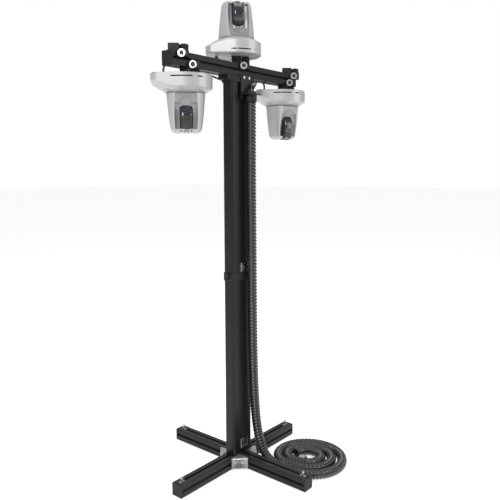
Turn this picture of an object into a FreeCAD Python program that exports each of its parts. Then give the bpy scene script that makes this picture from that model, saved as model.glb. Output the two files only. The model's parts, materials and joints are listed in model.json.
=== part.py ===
import FreeCAD, Part
import math
import os

import Sketcher
from FreeCAD import Placement, Rotation, Vector

# A free-standing camera stand: a cross of slotted aluminium beams carries a two-part
# column and a crossbar, and three pan-tilt cameras hang from or stand on the crossbar.
# Origin: on the floor, under the column's axis. X runs along the crossbar, +Z is up.
# The near leg points to -Y, and the cable hose comes down the column's -Y face.

DOCUMENT = FreeCAD.newDocument("camera_stand")
SHEET = DOCUMENT.addObject("Spreadsheet::Sheet", "sizes")
ROW = [0]
PIECES = []

X_AXIS = Vector(1, 0, 0)
Y_AXIS = Vector(0, 1, 0)
Z_AXIS = Vector(0, 0, 1)
TURNS = {"z": Rotation(), "x": Rotation(Y_AXIS, 90), "y": Rotation(X_AXIS, -90)}


class Size:
    """A length that knows its number and the spreadsheet formula behind it."""

    def __init__(self, number, formula):
        self.number = float(number)
        self.formula = formula

    def joined(self, sign, other, number):
        return Size(number, f"({self.formula} {sign} {formula_of(other)})")

    def __add__(self, other):
        return self.joined("+", other, self.number + number_of(other))

    def __sub__(self, other):
        return self.joined("-", other, self.number - number_of(other))

    def __mul__(self, other):
        return self.joined("*", other, self.number * number_of(other))

    def __truediv__(self, other):
        return self.joined("/", other, self.number / number_of(other))

    def __radd__(self, other):
        return Size(number_of(other), formula_of(other)) + self

    def __rsub__(self, other):
        return Size(number_of(other), formula_of(other)) - self

    def __neg__(self):
        return self * -1


def number_of(value):
    return value.number if isinstance(value, Size) else float(value)


def formula_of(value):
    return value.formula if isinstance(value, Size) else f"({float(value)})"


def size(alias, number):
    """Write one driving dimension to the spreadsheet and return it."""
    ROW[0] += 1
    SHEET.set(f"A{ROW[0]}", alias.replace("_", " "))
    SHEET.set(f"B{ROW[0]}", str(number))
    SHEET.setAlias(f"B{ROW[0]}", alias)
    return Size(number, f"{SHEET.Name}.{alias}")


def bind(item, prop, value):
    """Tie one property to its formula; a plain number is set as it is."""
    if isinstance(value, Size):
        item.setExpression(prop, value.formula)
        return
    setattr(item, prop, value)


def place(item, spot, turn=None):
    """Put an object at a spot, turned as asked."""
    item.Placement = Placement(Vector(*[number_of(value) for value in spot]), turn or Rotation())
    for letter, value in zip("xyz", spot):
        if isinstance(value, Size):
            item.setExpression(f"Placement.Base.{letter}", value.formula)
    return item


def piece(label, item):
    """Name an object as one sub-part of the stand."""
    item.Label = label
    PIECES.append(item)
    return item


# ---------------------------------------------------------------- solid helpers

def box(name, low, high, turn=None):
    """A block between two corners; a turn swings it about its low corner."""
    item = DOCUMENT.addObject("Part::Box", name)
    for prop, a, b in zip(("Length", "Width", "Height"), low, high):
        bind(item, prop, b - a)
    return place(item, low, turn)


def rod(name, start, radius, length, along="z"):
    item = DOCUMENT.addObject("Part::Cylinder", name)
    bind(item, "Radius", radius)
    bind(item, "Height", length)
    return place(item, start, TURNS[along])


def cone(name, start, radius, top_radius, length, along="z"):
    item = DOCUMENT.addObject("Part::Cone", name)
    bind(item, "Radius1", radius)
    bind(item, "Radius2", top_radius)
    bind(item, "Height", length)
    return place(item, start, TURNS[along])


def hexagon(name, start, across, length, along="z"):
    """A hexagonal prism; across is its width over the corners."""
    item = DOCUMENT.addObject("Part::Prism", name)
    item.Polygon = 6
    bind(item, "Circumradius", across / 2)
    bind(item, "Height", length)
    return place(item, start, TURNS[along])


def fuse(name, items):
    item = DOCUMENT.addObject("Part::MultiFuse", name)
    item.Shapes = items
    item.Refine = True
    return item


def group(name, items):
    """Several separate solids kept as one sub-part."""
    item = DOCUMENT.addObject("Part::Compound", name)
    item.Links = items
    return item


def cut(name, base, tools):
    item = DOCUMENT.addObject("Part::Cut", name)
    item.Base = base
    item.Tool = tools[0] if len(tools) == 1 else fuse(name + "_tools", tools)
    item.Refine = True
    return item


def common(name, base, tool):
    item = DOCUMENT.addObject("Part::Common", name)
    item.Base = base
    item.Tool = tool
    item.Refine = True
    return item


# -------------------------------------------------------- sketched body helpers

def plane_of(body, role):
    return [part for part in body.Origin.OriginFeatures if part.Role == role][0]


def sketch_on(body, name, role="XY_Plane", lift=0):
    sketch = body.newObject("Sketcher::SketchObject", name)
    sketch.AttachmentSupport = [(plane_of(body, role), "")]
    sketch.MapMode = "FlatFace"
    sketch.AttachmentOffset = Placement(Vector(0, 0, number_of(lift)), Rotation())
    if isinstance(lift, Size):
        sketch.setExpression("AttachmentOffset.Base.z", lift.formula)
    return sketch


def hold(sketch, edge, end, spot):
    """Hold one point of a sketch at its two formulas."""
    axes = (("DistanceX", spot[0], -2), ("DistanceY", spot[1], -1))
    for kind, value, axis in axes:
        if number_of(value) == 0:
            sketch.addConstraint(Sketcher.Constraint("PointOnObject", edge, end, axis))
            continue
        index = sketch.addConstraint(
            Sketcher.Constraint(kind, -1, 1, edge, end, number_of(value)))
        if isinstance(value, Size):
            sketch.setExpression(f"Constraints[{index}]", value.formula)


def outline(sketch, corners):
    """Draw one closed outline with straight sides through the corners."""
    first = sketch.GeometryCount
    points = [Vector(number_of(x), number_of(y), 0) for x, y in corners]
    count = len(points)
    for index, point in enumerate(points):
        sketch.addGeometry(Part.LineSegment(point, points[(index + 1) % count]), False)
    for index in range(count):
        following = first + (index + 1) % count
        sketch.addConstraint(Sketcher.Constraint("Coincident", first + index, 2, following, 1))
    for index, corner in enumerate(corners):
        hold(sketch, first + index, 1, corner)


def circle(sketch, centre, radius):
    spot = Vector(number_of(centre[0]), number_of(centre[1]), 0)
    edge = sketch.addGeometry(Part.Circle(spot, Z_AXIS, number_of(radius)), False)
    hold(sketch, edge, 3, centre)
    index = sketch.addConstraint(Sketcher.Constraint("Radius", edge, number_of(radius)))
    if isinstance(radius, Size):
        sketch.setExpression(f"Constraints[{index}]", radius.formula)


def rectangle(sketch, width, depth, centre=(0, 0)):
    left, right = centre[0] - width / 2, centre[0] + width / 2
    front, back = centre[1] - depth / 2, centre[1] + depth / 2
    outline(sketch, [(left, front), (right, front), (right, back), (left, back)])


def pad(body, sketch, length, taper=0):
    item = body.newObject("PartDesign::Pad", sketch.Name + "_pad")
    item.Profile = sketch
    bind(item, "Length", length)
    item.TaperAngle = taper
    body.Tip = item
    DOCUMENT.recompute()
    return item


def pocket_through(body, sketch):
    """Cut a sketch on the XY plane right through the solid above it."""
    item = body.newObject("PartDesign::Pocket", sketch.Name + "_pocket")
    item.Profile = sketch
    item.Type = "ThroughAll"
    item.Reversed = True
    body.Tip = item
    DOCUMENT.recompute()
    return item


def pocket_up(body, sketch, length):
    """Cut a sketch on a flat face towards +Z by a length."""
    item = body.newObject("PartDesign::Pocket", sketch.Name + "_pocket")
    item.Profile = sketch
    bind(item, "Length", length)
    item.Reversed = True
    body.Tip = item
    DOCUMENT.recompute()
    return item


def round_off(body, radius, wanted):
    """Round the edges of a body that the test picks out."""
    base = body.Tip
    names = [f"Edge{number}" for number, edge in enumerate(base.Shape.Edges, 1)
             if wanted(edge)]
    item = body.newObject("PartDesign::Fillet", body.Name + "_round")
    item.Base = (base, names)
    bind(item, "Radius", radius)
    body.Tip = item
    DOCUMENT.recompute()
    return item


def is_upright(edge):
    if edge.Curve.TypeId != "Part::GeomLine":
        return False
    return abs(edge.Curve.Direction.z) > 0.999


def turned(name, corners):
    """A body of revolution about Z; corners are (radius, height) pairs."""
    body = DOCUMENT.addObject("PartDesign::Body", name)
    sketch = sketch_on(body, name + "_profile", "XZ_Plane")
    outline(sketch, corners)
    DOCUMENT.recompute()
    item = body.newObject("PartDesign::Revolution", name + "_turn")
    item.Profile = sketch
    item.ReferenceAxis = (sketch, ["V_Axis"])
    item.Angle = 360
    body.Tip = item
    DOCUMENT.recompute()
    return body


# ------------------------------------------------------------------- dimensions

# Slotted profile of the legs and the crossbar
profile = size("profile_side", 40)
slot_mouth = size("slot_mouth", 8.2)
slot_lip = size("slot_lip", 4.5)
slot_inside = size("slot_inside", 20)
slot_depth = size("slot_depth", 12.3)
core_bore = size("core_bore", 6.8)
profile_edge = size("profile_edge_radius", 1.5)
cap = size("end_cap_thickness", 5)
seat = size("seat_clearance", 0.1)
clearance = size("screw_clearance", 0.3)
stud_gap = size("stud_clearance", 0.05)

# Base
leg_reach = size("leg_reach", 285)
ground = size("ground_clearance", 4)
bracket_leg = size("corner_bracket_leg", 40)
bracket_wall = size("corner_bracket_wall", 5)
foot_inset = size("foot_inset", 21)
foot_place = leg_reach - foot_inset
stud_radius = size("stud_radius", 4)
stud_rise = size("stud_rise", 14)
foot_radius = size("foot_pad_radius", 14)
insert_length = size("foot_insert_length", 22)

# Column
column_width = size("column_width", 90)
column_depth = size("column_depth", 40)
column_wall = size("column_wall", 3.5)
column_corner = size("column_corner_radius", 8)
web = size("column_web", 12)
web_place = size("column_web_place", 20)
joint = size("joint_level", 695)
bar_level = size("crossbar_level", 1265.4)
bolt_radius = size("bolt_radius", 4)
head_radius = size("bolt_head_radius", 6.5)
head_height = size("bolt_head_height", 8)
collar_level = size("collar_level", 631)
collar_height = size("collar_height", 25.5)
joint_screw_low = size("joint_screw_low", -46)
joint_screw_high = size("joint_screw_high", 15)
collar_wall = size("collar_wall", 3)
plate_side = size("cable_plate_width", 34)
plate_height = size("cable_plate_height", 30)
plate_thickness = size("cable_plate_thickness", 3)
head_collar_height = size("head_collar_height", 18)
head_collar_front = size("head_collar_front_wall", 6)
head_collar_ear = size("head_collar_ear", 14)

# Crossbar and what hangs on it
bar_half = size("crossbar_half_length", 289.4)
camera_left = size("left_camera_place", -219)
camera_right = size("right_camera_place", 238)
spare_inset = size("spare_clamp_inset", 27.4)
spare_place = bar_half - spare_inset
clamp_rise = size("clamp_rise", 20)
top_rise = size("top_clamp_rise", 22)
clamp_half = size("clamp_half_width", 15)
jaw_half = size("clamp_jaw_half_width", 19)
jaw_drop = size("clamp_jaw_drop", 17)
jaw_reach = size("clamp_jaw_reach", 40.5)
knob_place = size("clamp_knob_place", 28)
knob_radius = size("clamp_knob_radius", 12.5)
knob_stem = size("clamp_knob_stem_radius", 3)
ring_radius = size("clamp_ring_radius", 10.8)
ring_screw = size("clamp_ring_screw_radius", 4)
ring_inset = size("clamp_ring_inset", 2.97)
ring_drop = size("clamp_ring_drop", 7.5)
thread_radius = size("mount_thread_radius", 3.2)

# Cable hose
hose_radius = size("hose_radius", 16)
hose_x = size("hose_axis_x", 21)
hanger_x = size("hanger_middle_x", 12)
hose_y = size("hose_axis_y", -40.5)
shelf_level = size("hose_shelf_level", 1211)
shelf = size("hose_shelf_thickness", 4)
hanger_wall = size("hose_hanger_wall", 3)
hanger_half = size("hose_hanger_half_width", 24)
coil_x = size("coil_centre_x", 151)
coil_y = size("coil_centre_y", -185)
coil_outer = size("coil_outer_radius", 126)
coil_inner = size("coil_inner_radius", 30)

end_x = size("hose_end_x", 122)
end_y = size("hose_end_y", -166)
HOSE_END_HEADING = -65

# Camera, in its own frame: mounting face at zero, pan axis up, front to +X
base_front = size("camera_base_front_radius", 76)
base_back = size("camera_base_back", 93)
base_corner = size("camera_base_corner_radius", 24)
base_corner_y = size("camera_base_corner_place", 45)
cover_top = size("camera_cover_height", 50)
skirt_slope = size("camera_skirt_slope", 0.6)
shell = size("camera_shell_wall", 3)
head_gap = size("camera_head_gap", 1.5)
neck_radius = size("camera_head_low_radius", 55)
brow_radius = size("camera_head_high_radius", 45)
brow_level = size("camera_brow_level", 146)
crown_radius = size("camera_crown_radius", 24)
crown_level = size("camera_crown_level", 162)
tilt_level = size("camera_tilt_level", 119)
drum_radius = size("camera_drum_radius", 42)
dome_radius = size("camera_dome_radius", 50)
slot_back = size("camera_slot_back", 38)
drum_width = size("camera_drum_width", 34)
slot_wide = size("camera_slot_width", 37.5)
facet_low = size("camera_facet_low", 43)
spindle_radius = size("camera_spindle_radius", 15)
trunnion_radius = size("camera_trunnion_radius", 5)
window_half = size("camera_window_half_height", 20)
lens_radius = size("camera_lens_radius", 16)
grommet_place = size("camera_grommet_place", 62)

# Turns about upright axes, then each head's rest tilt towards its base
BASE_YAW = -48.9
PANS = {"left": -85.2, "right": -57.1, "top": -77.0}
TILTS = {"left": 33, "right": 0, "top": 0}
FACET_LEAN = 8.8
CLAMP_TURN = Rotation(Z_AXIS, BASE_YAW)

# Vent slots in a camera's rim: side, start and length
RIM_SLOTS = ((1, -35, 60), (1, 38, 13), (1, 55, 8), (-1, -15, 3), (-1, -11, 12),
             (-1, 5.5, 38), (-1, 53, 14))

leg_low = ground
leg_top = ground + profile
half = profile / 2
# The clamps stand askew to the bar, so their rings follow its front face along the slant
ring_place = (half - ring_inset) / math.sin(math.radians(-BASE_YAW))
bar_top = bar_level + profile
beam_mid = ground + half
neck_level = cover_top + head_gap
bar_mid = bar_level + half


# ------------------------------------------------------------- slotted profiles

def slotted_profile(name, length):
    """A square profile with a T-slot in each side, standing on the XY plane."""
    body = DOCUMENT.addObject("PartDesign::Body", name)
    square = sketch_on(body, name + "_square")
    rectangle(square, profile, profile)
    DOCUMENT.recompute()
    pad(body, square, length)
    round_off(body, profile_edge, is_upright)
    solid_volume = body.Tip.Shape.Volume
    slot = sketch_on(body, name + "_slot")
    mouth, inside = slot_mouth / 2, slot_inside / 2
    lip, shoulder, floor = half - slot_lip, half - slot_lip - 3.5, half - slot_depth
    outline(slot, [(half + 1, -mouth), (half + 1, mouth), (lip, mouth), (lip, inside),
                   (shoulder, inside), (floor, inside / 2), (floor, -inside / 2),
                   (shoulder, -inside), (lip, -inside), (lip, -mouth)])
    DOCUMENT.recompute()
    groove = pocket_through(body, slot)
    pattern = body.newObject("PartDesign::PolarPattern", name + "_pattern")
    pattern.Originals = [groove]
    pattern.Axis = (slot, ["N_Axis"])
    pattern.Angle = 360
    pattern.Occurrences = 4
    body.Tip = pattern
    DOCUMENT.recompute()
    core = sketch_on(body, name + "_core")
    circle(core, (0, 0), core_bore / 2)
    DOCUMENT.recompute()
    pocket_through(body, core)
    if body.Shape.Volume > 0.75 * solid_volume:
        raise RuntimeError(name + ": the slots cut nothing")
    return body


def end_cap(name):
    """A moulded cap with a plug for the core bore, its inner face on the XY plane."""
    body = DOCUMENT.addObject("PartDesign::Body", name)
    square = sketch_on(body, name + "_square")
    rectangle(square, profile, profile)
    DOCUMENT.recompute()
    pad(body, square, cap)
    round_off(body, profile_edge, is_upright)
    plug = rod(name + "_plug", (0, 0, -12), core_bore / 2 - seat, 12 + cap / 2)
    return fuse(name + "_moulding", [body, plug])


def socket_screw(name, shank, length, head, height):
    """A socket-head screw: its head stands up from zero, its shank goes down."""
    top = rod(name + "_head", (0, 0, 0), head, height)
    stem = rod(name + "_shank", (0, 0, -length), shank, length + 1)
    socket = hexagon(name + "_socket", (0, 0, height / 2), head, height)
    return cut(name, fuse(name + "_blank", [top, stem]), [socket])


# ------------------------------------------------------------------------- base

def build_base():
    beam_length = (leg_reach - cap) * 2
    beam = slotted_profile("base_beam_profile", beam_length)
    place(beam, (cap - leg_reach, 0, beam_mid), TURNS["x"])
    bolt_holes = []
    for side in (-1, 1):
        spot = (web_place * side, 0)
        bolt_holes.append(rod("beam_bolt_hole", (*spot, 0), bolt_radius + clearance, leg_top + 1))
        bolt_holes.append(rod("beam_bolt_seat", (*spot, 0), head_radius + clearance,
                              ground + slot_depth))
    piece("base_beam", cut("base_beam_drilled", beam, bolt_holes))

    leg_length = leg_reach - cap - half
    near = slotted_profile("near_leg_profile", leg_length)
    piece("near_leg", place(near, (0, -half, beam_mid), Rotation(X_AXIS, 90)))
    far = slotted_profile("far_leg_profile", leg_length)
    piece("far_leg", place(far, (0, half, beam_mid), TURNS["y"]))

    caps = []
    inner = leg_reach - cap
    ends = ((inner, 0, TURNS["x"]), (-inner, 0, Rotation(Y_AXIS, -90)),
            (0, inner, TURNS["y"]), (0, -inner, Rotation(X_AXIS, 90)))
    for index, (x, y, turn) in enumerate(ends):
        caps.append(place(end_cap(f"leg_cap_{index}"), (x, y, beam_mid), turn))
    piece("leg_end_caps", group("leg_caps", caps))

    build_corner_brackets()
    build_feet()


def build_corner_brackets():
    """Die-cast angle brackets in the four corners, flush with the beams."""
    brackets, screws, nuts = [], [], []
    for index in range(4):
        turn = Rotation(Z_AXIS, 90 * index)
        name = f"bracket_{index}"
        body = DOCUMENT.addObject("PartDesign::Body", name + "_casting")
        outside = sketch_on(body, name + "_outside")
        outline(outside, [(0, 0), (bracket_leg, 0), (bracket_leg, bracket_wall),
                          (bracket_wall, bracket_leg), (0, bracket_leg)])
        DOCUMENT.recompute()
        pad(body, outside, profile)
        inside = sketch_on(body, name + "_inside", "XY_Plane", bracket_wall)
        outline(inside, [(bracket_wall, bracket_wall), (bracket_leg * 2, bracket_wall),
                         (bracket_leg * 2, bracket_leg * 2), (bracket_wall, bracket_leg * 2)])
        DOCUMENT.recompute()
        pocket_up(body, inside, profile - bracket_wall * 2)
        hole_place = bracket_leg * 0.55
        holes = [rod(name + "_hole_x", (hole_place, -1, half), bolt_radius + clearance,
                     bracket_wall + 2, "y"),
                 rod(name + "_hole_y", (-1, hole_place, half), bolt_radius + clearance,
                     bracket_wall + 2, "x")]
        bracket = cut(name + "_drilled", body, holes)
        corner_x = half if index in (0, 3) else -half
        corner_y = half if index in (0, 1) else -half
        brackets.append(place(bracket, (corner_x, corner_y, ground), turn))

        screw_length = bracket_wall + slot_lip + 4
        for arm, lay in enumerate((Rotation(X_AXIS, -90), Rotation(Y_AXIS, 90))):
            screw = socket_screw(f"{name}_screw_{arm}", bolt_radius, screw_length,
                                 head_radius, head_height * 0.6)
            along = (hole_place, bracket_wall) if arm == 0 else (bracket_wall, hole_place)
            screws.append(seat_at_corner(screw, along, corner_x, corner_y, index, lay))
            nut = cut(f"{name}_nut_{arm}",
                      box(f"{name}_nut_blank_{arm}", (-8, -8, -4), (8, 8, 0)),
                      [rod(f"{name}_nut_hole_{arm}", (0, 0, -5), bolt_radius + seat, 6)])
            depth = -slot_lip - seat
            below = (hole_place, depth) if arm == 0 else (depth, hole_place)
            nuts.append(seat_at_corner(nut, below, corner_x, corner_y, index, lay))
    piece("corner_brackets", group("corner_bracket_set", brackets))
    piece("bracket_screws", group("bracket_screw_set", screws))
    piece("slot_nuts", group("slot_nut_set", nuts))


def seat_at_corner(item, along, corner_x, corner_y, index, lay):
    """Place a fastener by its spot in the bracket's own frame, turned to its corner."""
    quarter = ((1, 0), (0, 1), (-1, 0), (0, -1))[index]
    x = corner_x + along[0] * quarter[0] - along[1] * quarter[1]
    y = corner_y + along[0] * quarter[1] + along[1] * quarter[0]
    turn = Rotation(Z_AXIS, 90 * index).multiply(lay)
    return place(item, (x, y, beam_mid), turn)


def build_feet():
    """Four levelling feet: a stud in a slot insert, with a low pad under the leg."""
    inserts = []
    spots = ((foot_place, 0, 0), (0, foot_place, 90), (-foot_place, 0, 180),
             (0, -foot_place, 270))
    for index, (x, y, angle) in enumerate(spots):
        name = f"foot_{index + 1}"
        top = box(name + "_insert", (-insert_length / 2, -slot_mouth / 2 + seat, -slot_lip),
                  (insert_length / 2, slot_mouth / 2 - seat, 0))
        nut = box(name + "_nut", (-insert_length / 2, -8, -slot_lip - 4),
                  (insert_length / 2, 8, -slot_lip - seat))
        hole = rod(name + "_insert_hole", (0, 0, -12), stud_radius + stud_gap, 14)
        insert = cut(name + "_insert_drilled", fuse(name + "_insert_blank", [top, nut]), [hole])
        inserts.append(place(insert, (x, y, leg_top), Rotation(Z_AXIS, angle)))
        pad_low = cone(name + "_pad_low", (0, 0, 0), foot_radius, foot_radius, ground * 0.4)
        pad_high = cone(name + "_pad_high", (0, 0, ground * 0.4), foot_radius,
                        foot_radius * 0.8, ground * 0.5)
        stud = rod(name + "_stud", (0, 0, ground * 0.5), stud_radius,
                   leg_top + stud_rise - ground * 0.5)
        foot = fuse(name + "_levelling", [pad_low, pad_high, stud])
        piece(f"levelling_foot_{index + 1}", place(foot, (x, y, 0)))
    piece("foot_inserts", group("foot_insert_set", inserts))


def drill_for_feet():
    """The studs pass through the legs between the lower and the upper slot."""
    for label, along in (("base_beam", X_AXIS), ("near_leg", -Y_AXIS), ("far_leg", Y_AXIS)):
        item = [entry for entry in PIECES if entry.Label == label][0]
        signs = (1, -1) if label == "base_beam" else (1,)
        holes = [rod(label + "_stud_hole",
                     (foot_place * (along.x * sign), foot_place * (along.y * sign), 0),
                     stud_radius + clearance, leg_top + 1) for sign in signs]
        drilled = cut(label + "_with_stud_holes", item, holes)
        item.Label = label + "_undrilled"
        drilled.Label = label
        PIECES[PIECES.index(item)] = drilled


# ----------------------------------------------------------------------- column

def column_length(name, low, length):
    """A stretch of the column: a round-cornered tube with two webs for the bolts."""
    body = DOCUMENT.addObject("PartDesign::Body", name)
    outside = sketch_on(body, name + "_outside")
    rectangle(outside, column_width, column_depth)
    DOCUMENT.recompute()
    pad(body, outside, length)
    round_off(body, column_corner, is_upright)
    cells = sketch_on(body, name + "_cells")
    inner_depth = column_depth - column_wall * 2
    middle = web_place * 2 - web
    outer_cell = column_width / 2 - column_wall - web_place - web / 2
    rectangle(cells, middle, inner_depth)
    for side in (-1, 1):
        centre = (web_place + web / 2 + outer_cell / 2) * side
        rectangle(cells, outer_cell, inner_depth - column_corner, (centre, 0))
        circle(cells, (web_place * side, 0), bolt_radius + seat)
    DOCUMENT.recompute()
    pocket_through(body, cells)
    return place(body, (0, 0, low))


def rounded_ring(name, grow_x, grow_y, low, height):
    """A ring round the column, with its corners rounded to suit."""
    body = DOCUMENT.addObject("PartDesign::Body", name)
    outside = sketch_on(body, name + "_outside")
    rectangle(outside, column_width + grow_x * 2, column_depth + grow_y * 2)
    DOCUMENT.recompute()
    pad(body, outside, height)
    round_off(body, column_corner + grow_y, is_upright)
    inside = DOCUMENT.addObject("PartDesign::Body", name + "_bore")
    opening = sketch_on(inside, name + "_opening", "XY_Plane", -1)
    rectangle(opening, column_width + seat * 2, column_depth + seat * 2)
    DOCUMENT.recompute()
    pad(inside, opening, height + 2)
    round_off(inside, column_corner + seat, is_upright)
    return place(cut(name + "_ring", body, [inside]), (0, 0, low))


def build_column():
    piece("column_lower", column_length("column_lower_tube", leg_top, joint - leg_top))
    piece("column_upper", column_length("column_upper_tube", joint, bar_level - joint))

    splice_half = 60
    inner_width = web_place - web / 2 - 0.3
    inner_depth = column_depth / 2 - column_wall - 0.3
    splice = box("splice_bar", (-inner_width, -inner_depth, joint - splice_half),
                 (inner_width, inner_depth, joint + splice_half))
    levels = (joint_screw_low, joint_screw_high)
    holes = [rod("splice_tap", (0, -column_depth / 2, joint + level), 2.5 + seat,
                 column_depth, "y") for level in levels]
    piece("column_splice", cut("splice_tapped", splice, holes))
    for label in ("column_lower", "column_upper"):
        drill_column(label, levels)

    screws = []
    for level in levels:
        for side, turn in ((-1, Rotation(X_AXIS, 90)), (1, Rotation(X_AXIS, -90))):
            screw = socket_screw("joint_screw", 2.5, 12, 4.2, 1.6)
            screws.append(place(screw, (0, (column_depth / 2 + seat) * side, joint + level), turn))
    piece("joint_screws", group("joint_screw_set", screws))

    ring = rounded_ring("joint_collar_body", collar_wall, collar_wall, collar_level,
                        collar_height)
    boss_x = column_width / 2 + collar_wall
    boss = box("collar_boss", (-boss_x - 5, -6, collar_level + 6),
               (-boss_x + 1, 6, collar_level + collar_height))
    clearance = [rod("collar_screw_room", (0, -column_depth, joint + joint_screw_low), 5,
                     column_depth * 2, "y")]
    piece("joint_collar", cut("joint_collar_made", fuse("collar_with_boss", [ring, boss]),
                              clearance))
    build_cable_plates()
    build_head_collar()


def drill_column(label, levels):
    """Clearance holes for the joint's screws, only where this length covers them."""
    item = [entry for entry in PIECES if entry.Label == label][0]
    level = levels[0] if label == "column_lower" else levels[1]
    hole = rod(label + "_screw_hole", (0, -column_depth, joint + level), 2.8,
               column_depth * 2, "y")
    drilled = cut(label + "_drilled", item, [hole])
    item.Label = label + "_undrilled"
    drilled.Label = label
    PIECES[PIECES.index(item)] = drilled


def build_cable_plates():
    """Two bright square plates on the column's front face, each with a black bolt."""
    plates, bolts = [], []
    face = -column_depth / 2 - seat
    spots = (("upper_plate", joint - 23, plate_side * 0.23),
             ("lower_plate", leg_top + 34, plate_side * 0.14))
    for name, level, middle in spots:
        low = (middle - plate_side / 2, face - plate_thickness, level - plate_height / 2)
        high = (middle + plate_side / 2, face, level + plate_height / 2)
        hole = rod(name + "_hole", (middle, face - 10, level), 4.3, 14, "y")
        plates.append(cut(name, box(name + "_blank", low, high), [hole]))
        bolt = socket_screw(name + "_bolt", 4, plate_thickness, 6.5, 3.5)
        bolts.append(place(bolt, (middle, face - plate_thickness, level), Rotation(X_AXIS, 90)))
    piece("cable_plates", group("cable_plate_set", plates))
    piece("cable_plate_bolts", group("cable_plate_bolt_set", bolts))


def build_head_collar():
    """The collar under the crossbar, with an ear each side for a screw into its slot."""
    low = bar_level - head_collar_height
    ring = rounded_ring("head_collar_body", collar_wall, head_collar_front, low,
                        head_collar_height)
    edge = column_width / 2 + collar_wall
    ears, holes = [], []
    for side in (-1, 1):
        reach = edge + head_collar_ear
        start, end = (-reach, 1 - edge) if side < 0 else (edge - 1, reach)
        ears.append(box("head_collar_ear", (start, -half, low + 6), (end, half, bar_level)))
        holes.append(rod("ear_hole", ((edge + head_collar_ear / 2) * side, 0, low - 1),
                         2.8, head_collar_height + 2))
    for offset in (-12, 12):
        holes.append(rod("hanger_tap", (hanger_x + offset, -column_depth, bar_level - 3),
                         2 + seat, column_depth, "y"))
    piece("head_collar", cut("head_collar_made", fuse("collar_and_ears", [ring, *ears]), holes))


# ---------------------------------------------------------------------- crossbar

def build_crossbar():
    bar = slotted_profile("crossbar_profile", (bar_half - cap) * 2)
    place(bar, (cap - bar_half, 0, bar_mid), TURNS["x"])
    holes = []
    for side in (-1, 1):
        spot = (web_place * side, 0)
        holes.append(rod("bar_bolt_hole", (*spot, bar_level - 1), bolt_radius + clearance,
                         profile + 2))
        holes.append(rod("bar_bolt_seat", (*spot, bar_top - slot_depth),
                         head_radius + clearance, slot_depth + 1))
    piece("crossbar", cut("crossbar_drilled", bar, holes))

    inner = bar_half - cap
    caps = [place(end_cap("bar_cap_right"), (inner, 0, bar_mid), TURNS["x"]),
            place(end_cap("bar_cap_left"), (-inner, 0, bar_mid), Rotation(Y_AXIS, -90))]
    piece("crossbar_end_caps", group("bar_caps", caps))

    bolts = []
    shank = profile - slot_depth + 30
    for side in (-1, 1):
        top = socket_screw("bar_bolt", bolt_radius, shank, head_radius, head_height)
        bolts.append(place(top, (web_place * side, 0, bar_top - slot_depth + seat)))
        low = socket_screw("beam_bolt", bolt_radius, shank, head_radius, head_height)
        bolts.append(place(low, (web_place * side, 0, ground + slot_depth - seat),
                           Rotation(X_AXIS, 180)))
    piece("anchor_bolts", group("anchor_bolt_set", bolts))


# ------------------------------------------------------------------------ clamps



def clamp(index, place_x, over, rise):
    """One bar clamp: seat block, jaw in front of the bar, lobed knob and ring screw."""
    name = f"clamp_{index}"
    level = bar_top if over else bar_level
    origin = (place_x, 0, level)
    flip = CLAMP_TURN if over else CLAMP_TURN.multiply(Rotation(X_AXIS, 180))
    seat_block = box(name + "_seat", (-clamp_half, -clamp_half, seat),
                     (clamp_half, clamp_half, rise))
    jaw_near, jaw_far = (-jaw_half, jaw_half - 7) if over else (7 - jaw_half, jaw_half)
    jaw = box(name + "_jaw", (11, jaw_near, -jaw_drop), (jaw_reach, jaw_far, 3))
    blank = place(fuse(name + "_blank", [seat_block, jaw]), origin, flip)
    envelope = box(name + "_bar_room", (place_x - 120, -half - seat, bar_level - seat),
                   (place_x + 120, half + seat, bar_top + seat))
    thread = rod(name + "_thread", (place_x, 0, bar_level - profile), thread_radius,
                 profile * 3)
    face = -jaw_half if over else jaw_half
    tap = rod(name + "_ring_tap", (0, 0, 0), ring_screw + clearance, 18)
    ring_tap = hung(tap, origin, flip, (ring_place, face - 9, -ring_drop), TURNS["y"])
    room = rod(name + "_knob_room", (0, 0, 0), knob_stem + stud_gap, rise)
    knob_room = hung(room, origin, flip, (knob_place, 0, -8), Rotation())
    body = cut(name + "_body", blank, [envelope, thread, ring_tap, knob_room])

    lobes = [rod(name + "_knob_core", (0, 0, 3.4), knob_radius * 0.72, rise - 4.4),
             rod(name + "_knob_stem", (0, 0, 0.4), knob_stem, 6)]
    for lobe in range(6):
        angle = math.radians(60 * lobe)
        reach = knob_radius * 0.7
        lobes.append(rod(name + f"_lobe_{lobe}",
                         (reach * math.cos(angle), reach * math.sin(angle), 4.4),
                         knob_radius * 0.3, rise - 6.4))
    knob = fuse(name + "_knob_made", lobes)
    piece(f"clamp_knob_{index}", hung(knob, origin, flip, (knob_place, 0, 0), Rotation()))

    outward = Rotation(X_AXIS, 90) if over else Rotation(X_AXIS, -90)
    side = -1 if over else 1
    washer = cut(name + "_washer", rod(name + "_washer_disc", (0, 0, 0), ring_radius, 3),
                 [rod(name + "_washer_hole", (0, 0, -1), ring_screw + clearance, 5)])
    screw = socket_screw(name + "_screw", ring_screw, 8, ring_screw + 1.5, 4)
    fitted = []
    for item, lift in ((washer, seat), (screw, seat + 3)):
        local = (ring_place, face + lift * side, -ring_drop)
        fitted.append(hung(item, origin, flip, local, outward))
    return body, fitted[0], fitted[1]


def hung(item, origin, flip, local, lay):
    """Place an item by a spot in a turned frame; the frame's origin keeps its formula."""
    shift = flip.multVec(Vector(*[number_of(value) for value in local]))
    spot = [value + offset for value, offset in zip(origin, (shift.x, shift.y, shift.z))]
    return place(item, spot, flip.multiply(lay))


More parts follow.
